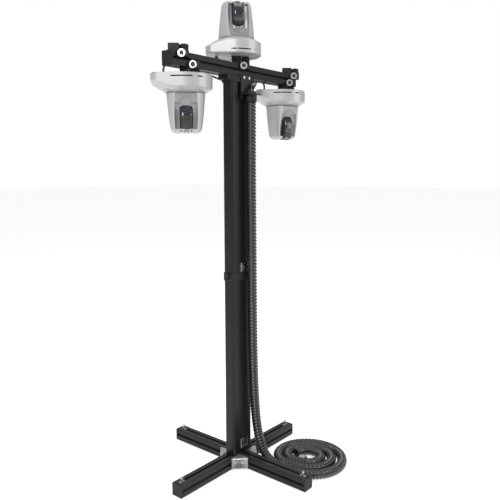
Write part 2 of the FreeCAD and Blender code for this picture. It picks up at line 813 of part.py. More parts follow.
def build_clamps():
    bodies, washers, screws = [], [], []
    layout = ((-spare_place, True, clamp_rise), (Size(0, "(0)"), True, top_rise),
              (spare_place, True, clamp_rise), (camera_left, False, clamp_rise),
              (camera_right, False, clamp_rise))
    for index, (place_x, over, rise) in enumerate(layout, 1):
        body, washer, screw = clamp(index, place_x, over, rise)
        bodies.append(body)
        washers.append(washer)
        screws.append(screw)
    piece("clamp_bodies", group("clamp_body_set", bodies))
    piece("clamp_washers", group("clamp_washer_set", washers))
    piece("clamp_screws", group("clamp_screw_set", screws))


# ------------------------------------------------------------------- cable hose

HOSE_ROUTE = ((21, -40.5, 1190), (21.4, -40.2, 960), (24, -40.6, 690), (26.2, -41, 440),
              (31, -42.2, 270), (38.5, -44, 165), (45, -50, 96), (48.5, -66, 46),
              (47, -96, 20.5), (42.5, -132, 17))

CABLE_ROUTES = {
    "right": ((25, -41, 1190), (27, -43, 1228), (48, -37, 1245), (76, -14, 1249),
              (98, 16, 1249), (114, 40, 1253), (136, 52, 1264), (160, 51, 1276),
              (182, 48, 1279), (197.26, 46.72, 1269), (197.26, 46.72, 1251.4)),
    "left": ((18, -36.5, 1190), (20, -38, 1228), (44, -31, 1245), (66, -4, 1248),
             (66, 30, 1251), (38, 50, 1256), (-6, 56, 1262), (-70, 51, 1270),
             (-140, 47, 1278), (-196, 46, 1283), (-226, 46.5, 1285), (-249, 46.7, 1280),
             (-259.74, 46.72, 1268), (-259.74, 46.72, 1251.4)),
    "top": ((18, -45, 1190), (21, -47, 1230), (46, -42, 1250), (74, -18, 1257),
            (88, 18, 1259), (76, 48, 1266), (46, 58, 1276), (6, 54, 1283),
            (-26, 47, 1290), (-40.74, 46.72, 1304), (-40.74, 46.72, 1321.4)),
}
CABLE_RADIUS = 3


def tube(route, radius):
    """Straight runs joined by tangent arcs, swept with a round section."""
    points = [Vector(*point) for point in route]
    edges, start, radii = [], points[0], []
    for before, corner, after in zip(points, points[1:], points[2:]):
        arriving = (corner - before).normalize()
        leaving = (after - corner).normalize()
        turn = arriving.getAngle(leaving)
        reach = 0.45 * min((corner - before).Length, (after - corner).Length)
        bend = reach / math.tan(turn / 2)
        radii.append(round(bend))
        entry, departure = corner - arriving * reach, corner + leaving * reach
        inward = (leaving - arriving).normalize()
        middle = corner + inward * (bend / math.cos(turn / 2) - bend)
        edges.append(Part.LineSegment(start, entry).toShape())
        edges.append(Part.Arc(entry, middle, departure).toShape())
        start = departure
    edges.append(Part.LineSegment(start, points[-1]).toShape())
    path = Part.Wire(edges)
    heading = (points[1] - points[0]).normalize()
    section = Part.Wire(Part.Circle(points[0], heading, radius).toShape())
    solid = path.makePipeShell([section], True, False)
    expected = math.pi * radius ** 2 * path.Length
    if abs(solid.Volume - expected) > 0.02 * expected:
        raise RuntimeError(f"a tube has volume {solid.Volume:.0f}, not {expected:.0f}")
    print(f"tube {path.Length:.0f} mm long, bend radii {radii}")
    return solid


def shaped(name, shape):
    item = DOCUMENT.addObject("Part::Feature", name)
    item.Shape = shape
    return item


def build_hose():
    wall = head_collar_front
    back = -column_depth / 2 - wall - seat
    left, right = hanger_x - hanger_half, hanger_x + hanger_half
    upright = box("hanger_upright", (left, back - hanger_wall, shelf_level),
                  (right, back, bar_level + 5))
    tab = box("hanger_tab", (left, back - hanger_wall, shelf_level - 8),
              (left + 8, back, shelf_level + 1))
    tab_end = rod("hanger_tab_end", (left + 4, back - hanger_wall, shelf_level - 8), 4,
                  hanger_wall, "y")
    ledge = box("hanger_ledge", (left, hose_y - hanger_half + 2, shelf_level),
                (hose_x + 20, back, shelf_level + shelf))
    holes = [rod("hanger_gland_hole", (hose_x, hose_y, shelf_level - 1), 13.2, shelf + 2)]
    for offset in (-12, 12):
        holes.append(rod("hanger_screw_hole",
                         (hanger_x + offset, back - 20, bar_level - 3), 2.3, 30, "y"))
    piece("hose_hanger", cut("hose_hanger_made",
                             fuse("hanger_blank", [upright, tab, tab_end, ledge]), holes))

    screws = []
    for offset in (-12, 12):
        screw = socket_screw("hanger_screw", 2, 8, 4, 3)
        screws.append(place(screw, (hanger_x + offset, back - hanger_wall, bar_level - 3),
                            Rotation(X_AXIS, 90)))
    piece("hanger_screws", group("hanger_screw_set", screws))

    spot = (hose_x, hose_y)
    sleeve = rod("gland_sleeve", (*spot, shelf_level - 21), hose_radius + 2, 21)
    neck = rod("gland_neck", (*spot, shelf_level - 1), 13, shelf + 8)
    nut = hexagon("gland_nut", (*spot, shelf_level + shelf + seat), 34, 6)
    bore = rod("gland_bore", (*spot, shelf_level - 30), 10.5, 60)
    piece("hose_gland", cut("hose_gland_made", fuse("gland_blank", [sleeve, neck, nut]), [bore]))

    piece("hose", shaped("hose_tube", tube(HOSE_ROUTE, hose_radius.number)))
    lay = Rotation(Z_AXIS, HOSE_END_HEADING).multiply(TURNS["x"])
    spot = (end_x, end_y, hose_radius + 0.5)
    ring = rod("coil_outside", (coil_x, coil_y, 0.5), coil_outer, hose_radius * 2)
    hole = rod("coil_hole", (coil_x, coil_y, 0), coil_inner, hose_radius * 2 + 2)
    nest = place(rod("coil_nest", (0, 0, 0), hose_radius, coil_inner * 2), spot, lay)
    piece("hose_coil", cut("hose_coil_made", ring, [hole, nest]))

    cuff = cut("cuff_made", rod("cuff", (0, 0, 0), hose_radius - 1, 18),
               [rod("cuff_bore", (0, 0, 6), 11 + clearance, 20)])
    piece("hose_end_cuff", place(cuff, spot, lay))
    plug = turned("plug_body", [(0, 6), (11, 6), (11, 18), (14, 18), (14, 22), (9, 22),
                                (9, 26), (0, 26)])
    piece("hose_end_plug", place(plug, spot, lay))

    cables = [shaped(f"cable_{name}", tube(route, CABLE_RADIUS))
              for name, route in CABLE_ROUTES.items()]
    piece("camera_cables", group("camera_cable_set", cables))


# ----------------------------------------------------------------------- cameras

def base_outline(sketch, inset):
    """The base's outline: a round front, two straight sides and a square back."""
    front, corner = base_front - inset, base_corner - inset
    back_x, corner_y = base_back * -1 + base_corner, base_corner_y
    big, small = number_of(front), number_of(corner)
    reach = math.hypot(number_of(back_x), number_of(corner_y))
    slant = math.atan2(number_of(corner_y), number_of(back_x))
    tangent = slant - math.acos((big - small) / reach)
    touch = Vector(math.cos(tangent), math.sin(tangent), 0)
    centre = Vector(number_of(back_x), number_of(corner_y), 0)
    front_left, back_left = touch * big, centre + touch * small
    flip = lambda point: Vector(point.x, -point.y, 0)
    straight_back = Vector(centre.x - small, centre.y, 0)
    add = sketch.addGeometry
    bisector = (touch + Vector(-1, 0, 0)).normalize()
    order = (
        add(Part.Arc(flip(front_left), Vector(big, 0, 0), front_left), False),
        add(Part.LineSegment(front_left, back_left), False),
        add(Part.Arc(back_left, centre + bisector * small, straight_back), False),
        add(Part.LineSegment(straight_back, flip(straight_back)), False),
        add(Part.Arc(flip(straight_back), flip(centre + bisector * small), flip(back_left)),
            False),
        add(Part.LineSegment(flip(back_left), flip(front_left)), False))
    DOCUMENT.recompute()
    for edge, other in zip(order, order[1:] + order[:1]):
        join_ends(sketch, edge, other)
    arc, left_corner, right_corner = order[0], order[2], order[4]
    hold(sketch, arc, 3, (0, 0))
    hold(sketch, left_corner, 3, (back_x, corner_y))
    hold(sketch, right_corner, 3, (back_x, -corner_y))
    for edge, radius in ((arc, front), (left_corner, corner), (right_corner, corner)):
        index = sketch.addConstraint(Sketcher.Constraint("Radius", edge, number_of(radius)))
        sketch.setExpression(f"Constraints[{index}]", formula_of(radius))


def join_ends(sketch, edge, other):
    """Make two edges tangent where their ends already meet."""
    for end in (1, 2):
        for start in (1, 2):
            gap = sketch.getPoint(edge, end) - sketch.getPoint(other, start)
            if gap.Length < 1e-4:
                sketch.addConstraint(Sketcher.Constraint("Tangent", edge, end, other, start))
                return
    raise RuntimeError("two edges of the base outline don't meet")


def camera_base_cover(name):
    """The base's shell: an upright rim under a skirt that slopes up to the head."""
    body = DOCUMENT.addObject("PartDesign::Body", name)
    outside = sketch_on(body, name + "_rim", "XY_Plane", 2)
    base_outline(outside, Size(0, "(0)"))
    DOCUMENT.recompute()
    pad(body, outside, cover_top - 2)
    blank = common(name + "_blank", body, skirt_cone(name + "_skirt", 0))
    hollow = DOCUMENT.addObject("PartDesign::Body", name + "_hollow")
    inside = sketch_on(hollow, name + "_inside")
    base_outline(inside, shell)
    DOCUMENT.recompute()
    pad(hollow, inside, cover_top)
    room = common(name + "_room", hollow, skirt_cone(name + "_skirt_room", shell * 1.2))
    tools = [room, rod(name + "_neck_hole", (0, 0, 10), spindle_radius + 2, cover_top),
             box(name + "_socket_bay", (-base_back - 1, -36, 6), (-base_back + shell + 1, 36, 18))]
    for side, start, length in RIM_SLOTS:
        low = 50 if side > 0 else -base_front - 2
        tools.append(box(name + "_slot", (start, low, 9),
                         (start + length, low + base_front - 48, 12.5)))
    return cut(name + "_made", blank, tools)


def skirt_cone(name, sink):
    """The cone whose slope the skirt follows, sunk by a wall's thickness for the inside."""
    height = cover_top - 1
    foot = neck_radius + height / skirt_slope
    return cone(name, (0, 0, 1 - sink), foot, neck_radius, height)


def camera_base_plate(name):
    body = DOCUMENT.addObject("PartDesign::Body", name)
    plate = sketch_on(body, name + "_plate")
    base_outline(plate, shell + seat)
    DOCUMENT.recompute()
    pad(body, plate, 4)
    tools = [rod(name + "_thread", (0, 0, -1), 3.2, 6),
             rod(name + "_cable_hole", (-grommet_place, 0, -1), 4.5 + seat, 6)]
    for x, y in ((-55, 32), (-55, -32), (45, 30), (45, -30), (-20, 48), (-20, -48)):
        tools.append(rod(name + "_recess", (x, y, -1), 5, 2.5))
    return cut(name + "_made", body, tools)


def head_profile(inset):
    """The head's outline up from its foot: a slow taper, then a rounded crown."""
    points = [(neck_radius - inset, neck_level)]
    for share, bulge in ((0.25, 0.6), (0.5, 1.1), (0.75, 1.0)):
        radius = neck_radius + (brow_radius - neck_radius) * share + bulge - inset
        level = cover_top + (brow_level - cover_top) * share
        points.append((radius, level))
    for angle in (0, 20, 40, 60, 80, 90):
        across, rise = math.cos(math.radians(angle)), math.sin(math.radians(angle))
        radius = crown_radius + (brow_radius - crown_radius) * across - inset * across
        points.append((radius, brow_level + (crown_level - brow_level - inset) * rise))
    return points


def head_solid(name, inset):
    """The head's solid form: the turned profile under an arch that clears the drum."""
    body = turned(name, head_profile(inset) + [(0, crown_level - inset), (0, neck_level)])
    spring = crown_level - dome_radius
    reach = neck_radius * 2
    lower = box(name + "_lower", (-reach, -reach, 0), (reach, reach, spring))
    arch = rod(name + "_arch", (0, -reach, spring), dome_radius - inset, reach * 2, "y")
    return common(name + "_domed", body, fuse(name + "_dome", [lower, arch]))


def head_slot(name, width, low):
    """The room that the lens drum shows through, from the front over the crown."""
    return box(name, (-slot_back, -width / 2, low), (neck_radius + 5, width / 2, crown_level + 5))


def camera_head_shell(name):
    low = tilt_level - drum_radius - 2
    facet = box(name + "_facet", (facet_low, -60, cover_top),
                (facet_low + 40, 60, crown_level + 30), Rotation(Y_AXIS, -FACET_LEAN))
    return cut(name + "_made", head_solid(name + "_outer", 0),
               [head_solid(name + "_inner", shell), head_slot(name + "_slot", slot_wide, low),
                facet])


def camera_head_frame(name):
    """The inner moulding: front bezel, floor and the two arms that carry the drum."""
    room = head_solid(name + "_room", shell + 0.2)
    floor = neck_level
    bezel = box(name + "_bezel", (facet_low - 6, -60, floor), (facet_low - seat, 60, 180),
                Rotation(Y_AXIS, -FACET_LEAN))
    disc = rod(name + "_floor", (0, 0, floor), neck_radius, 6)
    arm_in, arm_out = drum_width / 2 + 0.6, drum_width / 2 + 5.5
    arms = [box(name + "_arm", (-16, low, floor), (40, high, tilt_level + 14))
            for low, high in ((arm_in, arm_out), (-arm_out, -arm_in))]
    blank = common(name + "_blank", room, fuse(name + "_parts", [bezel, disc, *arms]))
    tools = [rod(name + "_drum_room", (0, -arm_in, tilt_level), drum_radius + 1, arm_in * 2, "y"),
             head_slot(name + "_slot", slot_wide, tilt_level - drum_radius + 4),
             rod(name + "_pivots", (0, -40, tilt_level), trunnion_radius + stud_gap, 80, "y"),
             rod(name + "_bore", (0, 0, floor - 1), spindle_radius + stud_gap, 9)]
    return cut(name + "_made", blank, tools)


def camera_drum(name):
    """The tilting drum about its own axis, bedded for its window and bored for its lens."""
    half_width = drum_width / 2
    wheel = rod(name + "_wheel", (0, -half_width, 0), drum_radius, drum_width, "y")
    pins = rod(name + "_pins", (0, -half_width - 5, 0), trunnion_radius, drum_width + 10, "y")
    bed = cut(name + "_bed", window_block(name + "_bed_block"),
              [rod(name + "_bed_core", (0, -half_width - 1, 0), drum_radius - 4,
                   drum_width + 2, "y")])
    bore = rod(name + "_lens_bore", (8, 0, 0), lens_radius + seat, drum_radius, "x")
    return cut(name + "_made", fuse(name + "_blank", [wheel, pins]), [bed, bore])


def window_block(name):
    half_width = drum_width / 2
    return box(name, (0, -half_width - 1, -window_half),
               (drum_radius + 5, half_width + 1, window_half))


def camera_lens(name):
    """A curved window flush with the drum, and the lens barrel behind it."""
    half_width = drum_width / 2
    ring = cut(name + "_ring",
               rod(name + "_ring_out", (0, -half_width, 0), drum_radius, drum_width, "y"),
               [rod(name + "_ring_in", (0, -half_width - 1, 0), drum_radius - 4,
                    drum_width + 2, "y")])
    window = common(name + "_window", ring, window_block(name + "_window_block"))
    barrel = cut(name + "_barrel_made",
                 rod(name + "_barrel", (8, 0, 0), lens_radius, drum_radius - 17, "x"),
                 [cone(name + "_barrel_bowl", (24, 0, 0), 7, lens_radius - 2,
                       drum_radius - 32, "x")])
    return group(name + "_set", [window, barrel])


def camera_spindle(name):
    flange = rod(name + "_flange", (0, 0, 4), spindle_radius * 2, 3)
    post = rod(name + "_post", (0, 0, 4), spindle_radius, neck_level + 4)
    bore = rod(name + "_bore", (0, 0, 5.5), 8, 80)
    return cut(name + "_made", fuse(name + "_blank", [flange, post]), [bore])


def camera_connector(name):
    """The socket panel in the base's rear bay, and the grommet its cable comes in by."""
    inside = shell + 1 - base_back
    panel = box(name + "_panel", (inside, -35, 6), (inside + 2, 35, 18))
    jacks = [rod(name + "_jack", (inside - 3, y, 12), 4.5, 5, "x") for y in (-24, 24)]
    sockets = fuse(name + "_sockets", [panel, *jacks])
    grommet = fuse(name + "_grommet",
                   [rod(name + "_collar", (-grommet_place, 0, -2), 6, 2 - seat),
                    rod(name + "_sleeve", (-grommet_place, 0, -6), 4.5, 12)])
    return group(name + "_made", [sockets, grommet])


def mount_screw(name, rise):
    """The screw that holds the camera's base plate on its clamp."""
    blank = rod(name + "_blank", (0, 0, 3.4 - rise), 3.1, rise)
    return cut(name, blank, [hexagon(name + "_socket", (0, 0, 2.4 - rise), 4, 4)])


def stand_camera(item, spot, flip, pan, tilt=None):
    """Place a camera sub-part; a tilting one hangs on the tilt axis."""
    turn = Rotation(Z_AXIS, BASE_YAW + pan).multiply(flip)
    if tilt is None:
        return place(item, spot, turn)
    return hung(item, spot, turn, (0, 0, tilt_level), Rotation(Y_AXIS, tilt))


def build_cameras():
    down = Rotation(X_AXIS, 180)
    layout = (("left", (camera_left, 0, bar_level - clamp_rise), down, clamp_rise),
              ("right", (camera_right, 0, bar_level - clamp_rise), down, clamp_rise),
              ("top", (0, 0, bar_top + top_rise), Rotation(), top_rise))
    shared = {"pan_spindles": [], "camera_connectors": [], "camera_mount_screws": []}
    for name, spot, flip, rise in layout:
        for part, maker in (("base_cover", camera_base_cover),
                            ("base_plate", camera_base_plate)):
            item = maker(f"{name}_{part}_solid")
            piece(f"{name}_{part}", stand_camera(item, spot, flip, 0))
        for part, maker in (("head_shell", camera_head_shell),
                            ("head_frame", camera_head_frame)):
            item = maker(f"{name}_{part}_solid")
            piece(f"{name}_{part}", stand_camera(item, spot, flip, PANS[name]))
        for part, maker in (("tilt_drum", camera_drum), ("lens", camera_lens)):
            item = maker(f"{name}_{part}_solid")
            piece(f"{name}_{part}", stand_camera(item, spot, flip, PANS[name], TILTS[name]))
        for part, maker in (("pan_spindles", camera_spindle),
                            ("camera_connectors", camera_connector)):
            shared[part].append(stand_camera(maker(f"{name}_{part}"), spot, flip, 0))
        screw = mount_screw(name + "_mount_screw", rise)
        shared["camera_mount_screws"].append(stand_camera(screw, spot, flip, 0))
    for part, items in shared.items():
        piece(part, group(part + "_set", items))


def check_and_export():
    DOCUMENT.recompute()
    for item in DOCUMENT.Objects:
        if "Invalid" in item.State or "Error" in item.State:
            raise RuntimeError(f"{item.Name} ({item.Label}) failed: {item.State}")
    os.makedirs("parts", exist_ok=True)
    for item in PIECES:
        if item.Shape.isNull() or not item.Shape.isValid() or not item.Shape.Solids:
            raise RuntimeError(f"{item.Label} has no valid solid")
        item.Shape.exportStep(f"parts/{item.Label}.step")
    print(len(PIECES), "sub-parts written")


build_base()
drill_for_feet()
build_column()
build_crossbar()
build_clamps()
build_hose()
build_cameras()
check_and_export()
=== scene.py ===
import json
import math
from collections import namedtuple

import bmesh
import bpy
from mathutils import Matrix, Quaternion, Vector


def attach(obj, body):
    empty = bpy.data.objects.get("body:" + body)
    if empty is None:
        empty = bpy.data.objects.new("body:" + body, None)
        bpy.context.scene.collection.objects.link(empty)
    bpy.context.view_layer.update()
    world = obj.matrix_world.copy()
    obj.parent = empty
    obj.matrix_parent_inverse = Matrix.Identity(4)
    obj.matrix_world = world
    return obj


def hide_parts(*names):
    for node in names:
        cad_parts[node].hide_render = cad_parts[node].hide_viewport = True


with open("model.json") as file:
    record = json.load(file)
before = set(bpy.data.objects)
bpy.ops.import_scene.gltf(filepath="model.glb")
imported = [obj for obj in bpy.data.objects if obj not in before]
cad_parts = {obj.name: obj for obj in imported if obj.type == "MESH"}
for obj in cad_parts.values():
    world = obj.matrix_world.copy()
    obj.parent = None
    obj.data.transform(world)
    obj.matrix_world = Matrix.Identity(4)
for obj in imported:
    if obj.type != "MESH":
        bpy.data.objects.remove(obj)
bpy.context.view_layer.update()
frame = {"nodes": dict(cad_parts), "record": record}

# %% [markdown]
# # A stand with three pan-tilt cameras
# The stand is black slotted aluminium: a cross on the floor, a two-part column and a
# crossbar. Two cameras hang under the crossbar and one stands on it. A corrugated hose
# brings their cables down the column and ends in a coil on the floor.
# The CAD model is already loaded, in metres, with its origin on the floor. Straight
# machined parts keep their CAD meshes. Parts with soft edges or curved skins are made here.

MM = 0.001

# %% [markdown]
# ## The camera
# The view looks at the stand from the front left, a little above half its height. A lens
# of about 42 mm on a 36 mm sensor gives the same mild perspective as a real visit would.

# %% Camera
view_camera = bpy.data.objects.new("view_camera", bpy.data.cameras.new("view_camera"))
bpy.context.scene.collection.objects.link(view_camera)
view_camera.data.sensor_width = 36
view_camera.data.lens = 42.32
view_camera.location = (-1.4166, -1.2339, 0.9795)
looking = Vector((0.7611, 0.6347, -0.1340)).to_track_quat("-Z", "Y")
view_camera.rotation_mode = "QUATERNION"
view_camera.rotation_quaternion = looking @ Quaternion((0, 0, 1), math.radians(-0.15))
bpy.context.scene.camera = view_camera
print("camera at", tuple(round(value, 3) for value in view_camera.location))

# %% [markdown]
# ## The hose's line
# The hose hangs straight from its gland, swings out past the near leg and winds about
# three turns on the floor, inwards, to its grey cuff. It could be drawn as a spiral
# formula alone, but a real hose keeps one radius for most of a turn and then steps in
# beside itself, so each turn here has a steady part and a step of one hose width.

# %% Hose route
hose_drop = [(21, -40.5, 1190), (21.4, -40.2, 960), (24, -40.6, 690), (26.2, -41, 440),
             (31, -42.2, 270), (38.5, -44, 165), (45, -50, 96), (48.5, -66, 46),
             (47, -96, 20.5), (42.5, -132, 17)]
coil_centre = Vector((151, -185))
TURN_GAP = 33.5
POINT_STEP = 24


def coil_radius(angle):
    """Steady for most of a turn, then a step in between 100 and 200 degrees."""
    turns, part = divmod(angle - 200, 360)
    share = min(max((part - 260) / 100, 0), 1)
    eased = share * share * (3 - 2 * share)
    return 110 - TURN_GAP * (turns + eased)


coil_points = []
for angle in range(188, 1190, POINT_STEP):
    inward = (110 - coil_radius(angle)) / (2 * TURN_GAP)
    middle = coil_centre + Vector((5, 8)) * inward
    reach = coil_radius(angle) / math.cos(math.radians(POINT_STEP / 2))
    spot = middle + Vector((math.cos(math.radians(angle)), math.sin(math.radians(angle)))) * reach
    coil_points.append((spot.x, spot.y, 16.5))
hose_route = hose_drop + [(41, -160, 16.5)] + coil_points
print(len(hose_route), "points on the hose's route")

# %% Hose centreline as one smooth spline


def smooth_line(name, route):
    """One open NURBS spline with the route's points as its control points."""
    line = bpy.data.curves.new(name, "CURVE")
    line.dimensions = "3D"
    line.resolution_u = 10
    spline = line.splines.new("NURBS")
    spline.points.add(len(route) - 1)
    for point, spot in zip(spline.points, route):
        point.co = (*[value * MM for value in spot], 1)
    spline.order_u = 3
    spline.use_endpoint_u = True
    holder = bpy.data.objects.new(name, line)
    bpy.context.scene.collection.objects.link(holder)
    return holder


def points_along(holder):
    """The spline's own points, read from it as Blender evaluates it."""
    bpy.context.view_layer.update()
    shadow = holder.evaluated_get(bpy.context.evaluated_depsgraph_get())
    mesh = bpy.data.meshes.new_from_object(shadow)
    spots = [vertex.co.copy() for vertex in mesh.vertices]
    bpy.data.meshes.remove(mesh)
    return spots


hose_line = smooth_line("hose_line", hose_route)
hose_path = points_along(hose_line)

# %% [markdown]
# ## The hose's ribs
# Corrugated hose is one small wave repeated. One wave is extruded ring by ring from a
# circle, an Array modifier repeats it to the line's length, and a Curve modifier bends
# the row of ribs along the line, so that the ribs crowd on the inside of each bend.

# %% Helpers: finished and new objects


def finished(name, holder):
    """Turn an object with its modifiers into a plain mesh object at the origin."""
    bpy.context.view_layer.update()
    shadow = holder.evaluated_get(bpy.context.evaluated_depsgraph_get())
    mesh = bpy.data.meshes.new_from_object(shadow)
    mesh.transform(holder.matrix_world)
    mesh.name = name
    piece = bpy.data.objects.new(name, mesh)
    bpy.context.scene.collection.objects.link(piece)
    bpy.data.objects.remove(holder)
    return piece


def object_from(name, mesh_in_work):
    """Make an object from a bmesh and free the bmesh."""
    mesh = bpy.data.meshes.new(name)
    mesh_in_work.to_mesh(mesh)
    mesh_in_work.free()
    piece = bpy.data.objects.new(name, mesh)
    bpy.context.scene.collection.objects.link(piece)
    return piece


print("2 helpers")

# %% One rib of the hose
HOSE_RADIUS = 0.016
RIB_PITCH = 0.0107


def hose_rib():
    """One wave of the hose along +X."""
    rib = bmesh.new()
    bmesh.ops.create_circle(rib, segments=20, radius=HOSE_RADIUS * 0.85)
    bmesh.ops.rotate(rib, verts=rib.verts, matrix=Matrix.Rotation(math.pi / 2, 3, "Y"))
    ring = list(rib.edges)
    radius, place = 0.85, 0.0
    for step, share in ((0.16, 0.86), (0.3, 0.975), (0.45, 1.0), (0.6, 1.0), (0.75, 0.975),
                        (0.88, 0.86), (1.0, 0.85)):
        grown = bmesh.ops.extrude_edge_only(rib, edges=ring)["geom"]
        corners = [part for part in grown if isinstance(part, bmesh.types.BMVert)]
        ring = [part for part in grown if isinstance(part, bmesh.types.BMEdge)]
        wider = share / radius
        bmesh.ops.scale(rib, verts=corners, vec=(1, wider, wider))
        bmesh.ops.translate(rib, verts=corners, vec=((step - place) * RIB_PITCH, 0, 0))
        radius, place = share, step
    bmesh.ops.recalc_face_normals(rib, faces=rib.faces)
    if sum(face.normal.dot(face.calc_center_median() * Vector((0, 1, 1))) for face in rib.faces) < 0:
        bmesh.ops.reverse_faces(rib, faces=rib.faces)
    return rib


ribs = object_from("hose_ribs", hose_rib())
print("one rib has", len(ribs.data.polygons), "faces")

# %% The ribs along the hose
rows = ribs.modifiers.new("rows", "ARRAY")
rows.fit_type = "FIT_CURVE"
rows.curve = hose_line
rows.use_merge_vertices = True
rows.merge_threshold = 0.0002
along = ribs.modifiers.new("along", "CURVE")
along.object = hose_line
along.deform_axis = "POS_X"
cable_hose = finished("cable_hose", ribs)
for face in cable_hose.data.polygons:
    face.use_smooth = True
bpy.data.objects.remove(hose_line)
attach(cable_hose, "stand")
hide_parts("hose", "hose_coil")
print("hose faces", len(cable_hose.data.polygons))

# %% [markdown]
# ## Shared surface effects
# Real plastic and anodised metal are never one flat tone. A node group holds the effect
# once: cloudy colour, uneven gloss and a fine relief. Each material gives it its own
# tone, scale and stretch. A second group lays a little pale dust on what faces up.

# %% Node group: surface grain


def new_group(name, sockets_in, sockets_out):
    """A shader node group with its named sockets and its two end nodes."""
    group = bpy.data.node_groups.new(name, "ShaderNodeTree")
    for label, kind, value in sockets_in:
        socket = group.interface.new_socket(label, in_out="INPUT", socket_type=kind)
        if value is not None:
            socket.default_value = value
    for label, kind in sockets_out:
        group.interface.new_socket(label, in_out="OUTPUT", socket_type=kind)
    return group, group.nodes.new("NodeGroupInput"), group.nodes.new("NodeGroupOutput")


def calculate(tree, operation, first, second):
    """A Math node; each side is a socket or a number."""
    node = tree.nodes.new("ShaderNodeMath")
    node.operation = operation
    for socket, value in zip(node.inputs, (first, second)):
        if isinstance(value, (int, float)):
            socket.default_value = value
        else:
            tree.links.new(value, socket)
    return node.outputs[0]


FLOAT, TONE, ARROW = "NodeSocketFloat", "NodeSocketColor", "NodeSocketVector"
grain, grain_in, grain_out = new_group(
    "surface_grain",
    [("Tone", TONE, (0.5, 0.5, 0.5, 1)), ("Clouding", FLOAT, 0.1), ("Cloud Scale", FLOAT, 20.0),
     ("Gloss Level", FLOAT, 0.4), ("Gloss Spread", FLOAT, 0.1), ("Grain Scale", FLOAT, 900.0),
     ("Relief", FLOAT, 0.1), ("Stretch", ARROW, (1, 1, 1))],
    [("Colour", TONE), ("Roughness", FLOAT), ("Normal", ARROW)])
links = grain.links
where = grain.nodes.new("ShaderNodeTexCoord")
stretched = grain.nodes.new("ShaderNodeVectorMath")
stretched.operation = "MULTIPLY"
links.new(where.outputs["Object"], stretched.inputs[0])
links.new(grain_in.outputs["Stretch"], stretched.inputs[1])
clouds = grain.nodes.new("ShaderNodeTexNoise")
clouds.inputs["Detail"].default_value = 4
links.new(stretched.outputs[0], clouds.inputs["Vector"])
links.new(grain_in.outputs["Cloud Scale"], clouds.inputs["Scale"])
off_centre = calculate(grain, "SUBTRACT", clouds.outputs[0], 0.5)
shade = calculate(grain, "ADD", calculate(grain, "MULTIPLY", off_centre, grain_in.outputs["Clouding"]), 1.0)
toned = grain.nodes.new("ShaderNodeVectorMath")
toned.operation = "SCALE"
links.new(grain_in.outputs["Tone"], toned.inputs[0])
links.new(shade, toned.inputs["Scale"])
links.new(toned.outputs[0], grain_out.inputs["Colour"])
spread = calculate(grain, "MULTIPLY", off_centre, grain_in.outputs["Gloss Spread"])
links.new(calculate(grain, "ADD", spread, grain_in.outputs["Gloss Level"]), grain_out.inputs["Roughness"])
fine = grain.nodes.new("ShaderNodeTexNoise")
fine.inputs["Detail"].default_value = 2
links.new(stretched.outputs[0], fine.inputs["Vector"])
links.new(grain_in.outputs["Grain Scale"], fine.inputs["Scale"])
relief = grain.nodes.new("ShaderNodeBump")
relief.inputs["Distance"].default_value = 0.0004
links.new(grain_in.outputs["Relief"], relief.inputs["Strength"])
links.new(fine.outputs[0], relief.inputs["Height"])
links.new(relief.outputs[0], grain_out.inputs["Normal"])
print("surface_grain has", len(grain.nodes), "nodes")

# %% Node group: settled dust
dust, dust_in, dust_out = new_group(
    "settled_dust",
    [("Tone", TONE, (0.5, 0.5, 0.5, 1)), ("Dust Tone", TONE, (0.45, 0.44, 0.42, 1)),
     ("Amount", FLOAT, 0.2)],
    [("Colour", TONE)])
facing = dust.nodes.new("ShaderNodeNewGeometry")
split = dust.nodes.new("ShaderNodeSeparateXYZ")
dust.links.new(facing.outputs["Normal"], split.inputs[0])
upward = calculate(dust, "POWER", calculate(dust, "MAXIMUM", split.outputs["Z"], 0.0), 2.0)
spots = dust.nodes.new("ShaderNodeTexNoise")
spots.inputs["Scale"].default_value = 60
spots.inputs["Detail"].default_value = 6
place = dust.nodes.new("ShaderNodeTexCoord")
dust.links.new(place.outputs["Object"], spots.inputs["Vector"])
cover = calculate(dust, "MULTIPLY", calculate(dust, "MULTIPLY", upward, spots.outputs[0]),
                  dust_in.outputs["Amount"])
mixed = dust.nodes.new("ShaderNodeMix")
mixed.data_type = "RGBA"
dust.links.new(cover, mixed.inputs["Factor"])
dust.links.new(dust_in.outputs["Tone"], mixed.inputs["A"])
dust.links.new(dust_in.outputs["Dust Tone"], mixed.inputs["B"])
dust.links.new(mixed.outputs["Result"], dust_out.inputs["Colour"])
print("settled_dust has", len(dust.nodes), "nodes")

# %% [markdown]
# ## The finishes
# One function makes every material: it places the two groups, gives them the finish's own
# numbers and sets the constants straight on the shader. Metal and plastic differ in the
# Metallic socket, gloss in the grain group's level, lacquer and glass in the coat.

# %% One function for every finish


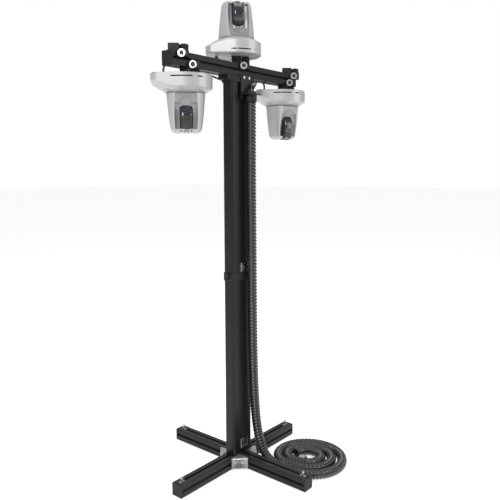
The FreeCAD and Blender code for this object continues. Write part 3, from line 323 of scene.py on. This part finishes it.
def finish(name, tone, gloss, metallic=0.0, clouding=0.15, cloud_scale=18.0, grain_scale=900.0,
           relief_height=0.1, stretch=(1, 1, 1), dusty=0.1, coat=0.0, coat_gloss=0.1,
           specular=0.5):
    """A procedural material from the two groups and a Principled shader."""
    made = bpy.data.materials.new(name)
    made.use_nodes = True
    tree = made.node_tree
    shader = tree.nodes["Principled BSDF"]
    skin = tree.nodes.new("ShaderNodeGroup")
    skin.node_tree = grain
    top = tree.nodes.new("ShaderNodeGroup")
    top.node_tree = dust
    for label, value in (("Tone", (*tone, 1)), ("Clouding", clouding),
                         ("Cloud Scale", cloud_scale), ("Gloss Level", gloss),
                         ("Gloss Spread", gloss * 0.4), ("Grain Scale", grain_scale),
                         ("Relief", relief_height), ("Stretch", stretch)):
        skin.inputs[label].default_value = value
    top.inputs["Amount"].default_value = dusty
    tree.links.new(skin.outputs["Colour"], top.inputs["Tone"])
    tree.links.new(top.outputs["Colour"], shader.inputs["Base Color"])
    tree.links.new(skin.outputs["Roughness"], shader.inputs["Roughness"])
    tree.links.new(skin.outputs["Normal"], shader.inputs["Normal"])
    shader.inputs["Metallic"].default_value = metallic
    shader.inputs["Coat Weight"].default_value = coat
    shader.inputs["Coat Roughness"].default_value = coat_gloss
    shader.inputs["Specular IOR Level"].default_value = specular
    return made


print("finish helper ready")

# %% This stand's finishes
finishes = {
    "anodised_x": finish("anodised_along_x", (0.008, 0.008, 0.009), 0.36, relief_height=0.25, specular=0.22,
                         stretch=(0.02, 1, 1), grain_scale=1500, dusty=0.1),
    "anodised_y": finish("anodised_along_y", (0.008, 0.008, 0.009), 0.36, relief_height=0.25, specular=0.22,
                         stretch=(1, 0.02, 1), grain_scale=1500, dusty=0.1),
    "column_paint": finish("column_satin_black", (0.008, 0.008, 0.009), 0.34, relief_height=0.2,
                           specular=0.25,
                           stretch=(1, 1, 0.03), grain_scale=1200, dusty=0.03),
    "black_metal": finish("matt_black_metal", (0.009, 0.009, 0.0098), 0.5, relief_height=0.3,
                            specular=0.3, dusty=0.05),
    "splice_steel": finish("plain_steel", (0.5, 0.5, 0.5), 0.35, metallic=1.0),
    "cap_plastic": finish("black_cap_plastic", (0.009, 0.009, 0.0098), 0.55, relief_height=0.35,
                            specular=0.3, dusty=0.05),
    "bracket_casting": finish("die_cast_silver", (0.62, 0.62, 0.6), 0.42, metallic=0.9,
                              clouding=0.25, relief_height=0.5, grain_scale=600),
    "zinc_steel": finish("zinc_plate", (0.62, 0.62, 0.6), 0.3, metallic=1.0, clouding=0.3),
    "black_screw": finish("black_oxide_steel", (0.02, 0.02, 0.021), 0.35, metallic=0.3),
    "foot_steel": finish("turned_steel", (0.6, 0.6, 0.59), 0.28, metallic=1.0,
                         stretch=(0.3, 0.3, 3)),
    "knob_plastic": finish("black_knob_plastic", (0.009, 0.009, 0.0098), 0.45, relief_height=0.4,
                            specular=0.3, dusty=0.05),
    "bright_plate": finish("bright_nickel", (0.8, 0.79, 0.77), 0.16, metallic=1.0, clouding=0.2),
    "hanger_paint": finish("black_sheet_paint", (0.009, 0.009, 0.0098), 0.42, relief_height=0.25,
                            specular=0.3, dusty=0.05),
    "gland_plastic": finish("black_gland_plastic", (0.009, 0.009, 0.009), 0.5, specular=0.3),
    "hose_plastic": finish("hose_polyamide", (0.0085, 0.0085, 0.0095), 0.22, clouding=0.4,
                           cloud_scale=9, coat=0.35, coat_gloss=0.15, dusty=0.12),
    "cuff_plastic": finish("grey_cuff_plastic", (0.35, 0.35, 0.36), 0.5),
    "plug_plastic": finish("black_plug_plastic", (0.018, 0.018, 0.018), 0.4),
    "cable_sheath": finish("cable_sheath", (0.015, 0.015, 0.015), 0.22, coat=0.3),
    "spindle_metal": finish("turned_aluminium", (0.5, 0.5, 0.5), 0.35, metallic=1.0),
    "camera_shell": finish("silver_grey_shell", (0.42, 0.42, 0.43), 0.34, metallic=0.25,
                           clouding=0.05, grain_scale=1800, relief_height=0.12, dusty=0.05,
                           coat=0.25, coat_gloss=0.2),
    "camera_plate": finish("grey_base_plate", (0.36, 0.36, 0.35), 0.45, metallic=0.4),
    "camera_bezel": finish("grey_bezel_plastic", (0.27, 0.265, 0.265), 0.34, metallic=0.25,
                           clouding=0.06, grain_scale=1800, relief_height=0.1, coat=0.2),
    "drum_plastic": finish("dark_drum_plastic", (0.018, 0.016, 0.015), 0.45, relief_height=0.15),
    "lens_window": finish("smoked_window", (0.012, 0.01, 0.02), 0.08, coat=1.0, coat_gloss=0.02,
                          clouding=0.6, relief_height=0.0, dusty=0.02),
    "lens_barrel": finish("dark_lens_ring", (0.04, 0.038, 0.045), 0.25, relief_height=0.05,
                          coat=0.6, coat_gloss=0.05, dusty=0.0),
    "lens_coating": finish("violet_lens_coating", (0.03, 0.018, 0.055), 0.05, metallic=0.4,
                           clouding=0.5, relief_height=0.0, coat=1.0, coat_gloss=0.01, dusty=0.0),
}
print(len(finishes), "finishes")

# %% [markdown]
# ## Dressing the CAD parts
# Beams, column, screws and plates have their right shape already, so they keep their CAD
# meshes and only change their material. The record says which finish each part takes. The
# near and the far leg are the crossing beam's profile turned, so their grain runs along Y.

# %% CAD parts in their finishes
slot_of = {entry["node"]: entry["material_slot"] for entry in frame["record"]["subparts"]}


def finish_for(node):
    """The finish of a part, by the record's material slot."""
    if slot_of[node] == "anodised_profile":
        return finishes["anodised_y" if node in ("near_leg", "far_leg") else "anodised_x"]
    return finishes[slot_of[node]]


def wear(piece, material):
    """Give an object one material all over."""
    piece.data.materials.clear()
    piece.data.materials.append(material)


for node, part in frame["nodes"].items():
    wear(part, finish_for(node))
wear(cable_hose, finishes["hose_plastic"])
print(len(frame["nodes"]), "CAD parts dressed")

# %% [markdown]
# ## Soft edges on the CAD parts
# Cast and moulded parts have no knife edges. Each could be modelled again, but the CAD
# shape is right, so a copy of its mesh is merged, its flat areas are joined and a Bevel
# modifier rounds what is sharp. A Weighted Normal modifier keeps the flat areas flat in
# the shading. The copy then stands for the CAD part.

# %% Softened copies
body_of = {node: name for name, nodes in frame["record"]["behaviour"]["bodies"].items()
           for node in nodes}


MERGE_WITHIN = 1e-6
FLAT_WITHIN = math.radians(0.5)
SHARP_FROM = math.radians(35)


def softened(node, width):
    """A copy of a CAD part with its sharp edges rounded, standing in its place."""
    work = bmesh.new()
    work.from_mesh(frame["nodes"][node].data)
    bmesh.ops.remove_doubles(work, verts=work.verts, dist=MERGE_WITHIN)
    bmesh.ops.dissolve_limit(work, angle_limit=FLAT_WITHIN, verts=work.verts,
                             edges=work.edges)
    holder = object_from(node + "_work", work)
    rounding = holder.modifiers.new("rounding", "BEVEL")
    rounding.width = width
    rounding.segments = 2
    rounding.limit_method = "ANGLE"
    rounding.angle_limit = SHARP_FROM
    rounding.use_clamp_overlap = True
    holder.data.shade_smooth()
    holder.modifiers.new("even_shading", "WEIGHTED_NORMAL").weight = 100
    piece = finished(node + "_soft", holder)
    wear(piece, finish_for(node))
    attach(piece, body_of[node])
    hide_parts(node)
    return piece


soft_parts = [("clamp_bodies", 0.0012), ("corner_brackets", 0.001), ("leg_end_caps", 0.0012),
              ("crossbar_end_caps", 0.0012), ("hose_hanger", 0.0008), ("head_collar", 0.001),
              ("joint_collar", 0.001), ("cable_plates", 0.0008)]
soft_parts += [(f"clamp_knob_{number}", 0.001) for number in range(1, 6)]
for camera_name in ("left", "right", "top"):
    soft_parts += [(camera_name + "_base_cover", 0.0015), (camera_name + "_head_shell", 0.001)]
for part_name, edge_width in soft_parts:
    softened(part_name, edge_width)
print(len(soft_parts), "softened parts")

# %% [markdown]
# ## Where each camera looks
# The three cameras are one model. Its head is made once, upright and facing +X, and then
# copied to each place with a matrix: move, turn, and for a hanging camera flip over. The
# places come from the pan joints, so the heads always sit on their spindles.

# %% Camera places
TILT_AXIS_LEVEL = 0.119
joint_places = {joint["name"]: joint["pos_m"] for joint in frame["record"]["behaviour"]["joints"]
                if "pos_m" in joint}
# Degrees: heading about the upright axis, rest tilt towards the base, where the pale cap starts
Aim = namedtuple("Aim", "heading tilt hanging cap_from")
aims = {"left": Aim(-134.1, 33.0, True, 80), "right": Aim(-106.0, 0.0, True, 118),
        "top": Aim(-125.9, 0.0, False, 80)}


def head_matrix(name):
    """From the head's own frame to its place on the stand."""
    matrix = Matrix.Translation(joint_places[name + "_pan"])
    matrix = matrix @ Matrix.Rotation(math.radians(aims[name].heading), 4, "Z")
    return matrix @ Matrix.Rotation(math.pi, 4, "X") if aims[name].hanging else matrix


def drum_matrix(name):
    """From the drum's own frame, about its tilt axis, to its place on the stand."""
    return (head_matrix(name) @ Matrix.Translation((0, 0, TILT_AXIS_LEVEL))
            @ Matrix.Rotation(math.radians(aims[name].tilt), 4, "Y"))


print({name: tuple(round(value, 4) for value in head_matrix(name).translation) for name in aims})

# %% [markdown]
# ## The face of the head
# Between two flat cheeks the face has a hollow flute on each side of the drum and a
# scooped apron under it. The block is spun from half its outline and sliced to the leaning
# facet. The hollows are simple round forms, so a few cylinders and a ball cut them more
# cleanly than vertices pushed by hand would.

# %% The face's filled block
FACET_LEAN = math.radians(8.8)
FACET_FRONT = (0.0429, 0, 0.05)
BLOCK_BACK = (0.006, 0, 0)


def face_block():
    """The head's filled front, spun about the pan axis and sliced at the facet."""
    block = bmesh.new()
    outline = [(0, 51.7), (51.5, 51.7), (49.6, 74), (47.6, 98), (45, 122), (41.5, 146)]
    for angle in (20, 40, 60, 80):
        turned = math.radians(angle)
        outline.append((24 + 17.5 * math.cos(turned), 146 + 12.5 * math.sin(turned)))
    outline += [(0, 158.5)]
    verts = [block.verts.new((across * MM, 0, level * MM)) for across, level in outline]
    edges = [block.edges.new(pair) for pair in zip(verts, verts[1:])]
    bmesh.ops.spin(block, geom=verts + edges, axis=(0, 0, 1), cent=(0, 0, 0),
                   angle=math.tau, steps=72, use_merge=True)
    bmesh.ops.remove_doubles(block, verts=block.verts, dist=MERGE_WITHIN)
    forward = (math.cos(FACET_LEAN), 0, math.sin(FACET_LEAN))
    for spot, normal in ((FACET_FRONT, forward), (BLOCK_BACK, (-1, 0, 0))):
        bmesh.ops.bisect_plane(block, geom=block.verts[:] + block.edges[:] + block.faces[:],
                               plane_co=spot, plane_no=normal, clear_outer=True)
        rim = [edge for edge in block.edges if edge.is_boundary]
        bmesh.ops.holes_fill(block, edges=rim, sides=0)
    bmesh.ops.recalc_face_normals(block, faces=block.faces)
    return object_from("face_block", block)


face = face_block()
print("face block has", len(face.data.polygons), "faces")

# %% Cutters for its hollows


def cylinder_cutter(name, radius, length, matrix, rim_round=0.0):
    """A closed cylinder to subtract, with rounded rims where they are asked for."""
    cutter = bmesh.new()
    bmesh.ops.create_cone(cutter, cap_ends=True, segments=96, radius1=radius, radius2=radius,
                          depth=length)
    if rim_round:
        rims = [edge for edge in cutter.edges if edge.verts[0].co.z * edge.verts[1].co.z > 0]
        bmesh.ops.bevel(cutter, geom=rims, offset=rim_round, offset_type="OFFSET", segments=8,
                        profile=0.5, affect="EDGES", material=-1)
    bmesh.ops.transform(cutter, verts=cutter.verts, matrix=matrix)
    bmesh.ops.recalc_face_normals(cutter, faces=cutter.faces)
    return object_from(name, cutter)


def sphere_cutter(name, radius, spot):
    """A closed ball to subtract."""
    cutter = bmesh.new()
    bmesh.ops.create_uvsphere(cutter, u_segments=72, v_segments=48, radius=radius,
                              matrix=Matrix.Translation(spot))
    return object_from(name, cutter)


across_axis = Matrix.Rotation(math.pi / 2, 4, "X")
leaning = Matrix.Rotation(-FACET_LEAN, 4, "Y")
cutters = [cylinder_cutter("drum_room", 0.0434, 0.0376,
                           Matrix.Translation((0, 0, TILT_AXIS_LEVEL)) @ across_axis, 0.009),
           sphere_cutter("apron_scoop", 0.038, (0.064, 0, 0.092))]
for side in (-1, 1):
    cutters.append(cylinder_cutter(
        "flute", 0.0155, 0.1,
        Matrix.Translation((0.0363, side * 0.0185, 0.128)) @ leaning))
print(len(cutters), "cutters")

# %% Carve the face
CHEEK_FROM = 0.0338
FACING_FRONT = 0.9
for cutter in cutters:
    cut_step = face.modifiers.new(cutter.name, "BOOLEAN")
    cut_step.operation = "DIFFERENCE"
    cut_step.solver = "EXACT"
    cut_step.object = cutter
face_master = finished("face_master", face)
for cutter in cutters:
    bpy.data.objects.remove(cutter)
face_master.data.shade_smooth()
face_master.data.set_sharp_from_angle(angle=SHARP_FROM)
for patch in face_master.data.polygons:
    if patch.normal.x > FACING_FRONT and abs(patch.center.y) > CHEEK_FROM:
        patch.material_index = 1
print("face has", len(face_master.data.polygons), "faces")

# %% One face in each head
for camera_name in aims:
    head_face = bpy.data.objects.new(camera_name + "_head_face", face_master.data.copy())
    bpy.context.scene.collection.objects.link(head_face)
    head_face.data.transform(head_matrix(camera_name))
    wear(head_face, finishes["camera_bezel"])
    head_face.data.materials.append(finishes["camera_shell"])
    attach(head_face, camera_name + "_head")
    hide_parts(camera_name + "_head_frame")
bpy.data.objects.remove(face_master)
print("3 head faces")

# %% [markdown]
# ## The tilting drum
# The drum is a short wheel with round rims. The band in front is smoked glass, dark matt
# plastic lies beside it, and the part past the crown is shell-coloured. On the right
# camera that part starts further round. Three separate shells could be fitted together,
# but one wheel with three finishes, given out by the angle of each face, keeps the bands
# flush at every tilt.

# %% Drums
DRUM_RADIUS = 0.0419
DRUM_HALF = 0.0169
RIM_ROUND = 0.0085
SIDE_WITHIN = 0.7
GLASS_HALF_ANGLE = 27
CAP_TO = 250


def drum_wheel(cap_from):
    """A wheel about Y with softened rims; faces are given their finish by angle."""
    wheel = bmesh.new()
    bmesh.ops.create_cone(wheel, cap_ends=True, segments=120, radius1=DRUM_RADIUS,
                          radius2=DRUM_RADIUS, depth=DRUM_HALF * 2, matrix=across_axis)
    rims = [edge for edge in wheel.edges if len({round(v.co.y, 5) for v in edge.verts}) == 1]
    bmesh.ops.bevel(wheel, geom=rims, offset=RIM_ROUND, offset_type="OFFSET", segments=8,
                    profile=0.5, affect="EDGES", material=-1)
    bmesh.ops.recalc_face_normals(wheel, faces=wheel.faces)
    for patch in wheel.faces:
        middle = patch.calc_center_median()
        if math.hypot(middle.x, middle.z) < DRUM_RADIUS * SIDE_WITHIN:
            patch.material_index = 1
            continue
        angle = math.degrees(math.atan2(middle.z, middle.x))
        if abs(angle) < GLASS_HALF_ANGLE:
            patch.material_index = 0
        else:
            patch.material_index = 2 if cap_from < angle % 360 < CAP_TO else 1
    return wheel


for camera_name in aims:
    drum = object_from(camera_name + "_drum_wheel", drum_wheel(aims[camera_name].cap_from))
    drum.data.transform(drum_matrix(camera_name))
    for finish_name in ("lens_window", "drum_plastic", "camera_shell"):
        drum.data.materials.append(finishes[finish_name])
    drum.data.shade_smooth()
    drum.data.set_sharp_from_angle(angle=SHARP_FROM)
    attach(drum, camera_name + "_drum")
    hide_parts(camera_name + "_tilt_drum")
print("3 drums")

# %% [markdown]
# ## The lens behind the glass
# The lens shows through the glass as dark rings around a violet coated element. It could
# be a hollow barrel behind clear glass. Here the rings are insets of one disc, laid on
# the drum's curve a hair above it. That is simpler, and it has no real depth from close by.

# %% Lens rings
LENS_RADIUS = 0.0145
LEAST_LIFT = 0.0004
RING_LIFT = 0.0006
SKIRT_DEPTH = 0.004
ring_steps = [(0.0012, 1), (0.0018, 0), (0.0022, 1), (0.0016, 2)]


def lens_disc():
    """A ringed disc facing +X, wrapped on the drum's curve."""
    disc = bmesh.new()
    bmesh.ops.create_circle(disc, segments=64, radius=LENS_RADIUS, cap_ends=True,
                            matrix=Matrix.Rotation(math.pi / 2, 4, "Y"))
    disc.faces.ensure_lookup_table()
    heart = [disc.faces[0]]
    heart[0].material_index = 1
    for thickness, finish_index in ring_steps:
        bmesh.ops.inset_region(disc, faces=heart, thickness=thickness)
        heart[0].material_index = finish_index
    bmesh.ops.poke(disc, faces=heart)
    for corner in disc.verts:
        reach = math.hypot(corner.co.y, corner.co.z) / LENS_RADIUS
        lift = LEAST_LIFT + RING_LIFT * math.sin(math.pi * min(reach, 1))
        past = max(abs(corner.co.y) - (DRUM_HALF - RIM_ROUND), 0)
        drop = RIM_ROUND - math.sqrt(RIM_ROUND ** 2 - past ** 2)
        corner.co.x = math.sqrt((DRUM_RADIUS - drop) ** 2 - corner.co.z ** 2) + lift
    rim = [edge for edge in disc.edges if edge.is_boundary]
    skirt = bmesh.ops.extrude_edge_only(disc, edges=rim)["geom"]
    skirt_corners = [part for part in skirt if isinstance(part, bmesh.types.BMVert)]
    bmesh.ops.translate(disc, verts=skirt_corners, vec=(-SKIRT_DEPTH, 0, 0))
    bmesh.ops.contextual_create(disc, geom=[part for part in skirt
                                            if isinstance(part, bmesh.types.BMEdge)])
    bmesh.ops.recalc_face_normals(disc, faces=disc.faces)
    return disc


for camera_name in aims:
    lens = object_from(camera_name + "_lens_rings", lens_disc())
    lens.data.transform(drum_matrix(camera_name))
    for finish_name in ("lens_window", "lens_barrel", "lens_coating"):
        lens.data.materials.append(finishes[finish_name])
    lens.data.shade_smooth()
    lens.data.set_sharp_from_angle(angle=math.radians(30))
    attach(lens, camera_name + "_drum")
    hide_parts(camera_name + "_lens")
print("3 lenses")

# %% [markdown]
# ## Floor and light
# The stand is shown on a plain pale floor in soft light. A large lamp on the left gives
# the shape, a weaker one on the right opens the shadows, and one overhead lifts the tops.
# A black object greys over under a bright sky, so the sky lights it only weakly, while the
# view sees it as white. The floor gives off a little light of its own, so that floor and
# background meet with hardly a band between them.

# %% Floor and light
FLOOR_GLOW = 0.62
AMBIENT = 0.42
floor_mesh = bmesh.new()
bmesh.ops.create_grid(floor_mesh, x_segments=1, y_segments=1, size=30)
floor = object_from("pale_floor", floor_mesh)
floor_paint = finish("pale_floor_paint", (0.8, 0.8, 0.8), 0.9, clouding=0.0, relief_height=0.0,
                     dusty=0.0, specular=0.0)
floor_shader = floor_paint.node_tree.nodes["Principled BSDF"]
floor_shader.inputs["Emission Color"].default_value = (1, 1, 1, 1)
floor_shader.inputs["Emission Strength"].default_value = FLOOR_GLOW
wear(floor, floor_paint)

surroundings = bpy.data.worlds.new("soft_studio")
surroundings.use_nodes = True
sky = surroundings.node_tree
plain = sky.nodes["Background"]
plain.inputs["Color"].default_value = (1, 1, 1, 1)
plain.inputs["Strength"].default_value = AMBIENT
backdrop = sky.nodes.new("ShaderNodeBackground")
backdrop.inputs["Color"].default_value = (1, 1, 1, 1)
chooser = sky.nodes.new("ShaderNodeMixShader")
seen = sky.nodes.new("ShaderNodeLightPath")
sky.links.new(seen.outputs["Is Camera Ray"], chooser.inputs[0])
sky.links.new(plain.outputs[0], chooser.inputs[1])
sky.links.new(backdrop.outputs[0], chooser.inputs[2])
sky.links.new(chooser.outputs[0], sky.nodes["World Output"].inputs["Surface"])
bpy.context.scene.world = surroundings


def soft_lamp(name, spot, target, side, power):
    """A square area lamp aimed at a point."""
    lamp = bpy.data.objects.new(name, bpy.data.lights.new(name, "AREA"))
    lamp.data.size = side
    lamp.data.energy = power
    lamp.location = spot
    lamp.rotation_mode = "QUATERNION"
    lamp.rotation_quaternion = (Vector(target) - Vector(spot)).to_track_quat("-Z", "Y")
    bpy.context.scene.collection.objects.link(lamp)
    return lamp


soft_lamp("key_lamp", (-2.6, -1.0, 2.6), (0, 0, 0.8), 1.6, 60)
soft_lamp("fill_lamp", (1.6, -2.8, 1.6), (0, 0, 0.8), 2.0, 25)
soft_lamp("top_lamp", (0.2, 0.2, 3.4), (0, 0, 0.6), 1.8, 45)
bpy.context.scene.view_settings.view_transform = "Standard"
print("3 lamps")

bpy.context.view_layer.update()
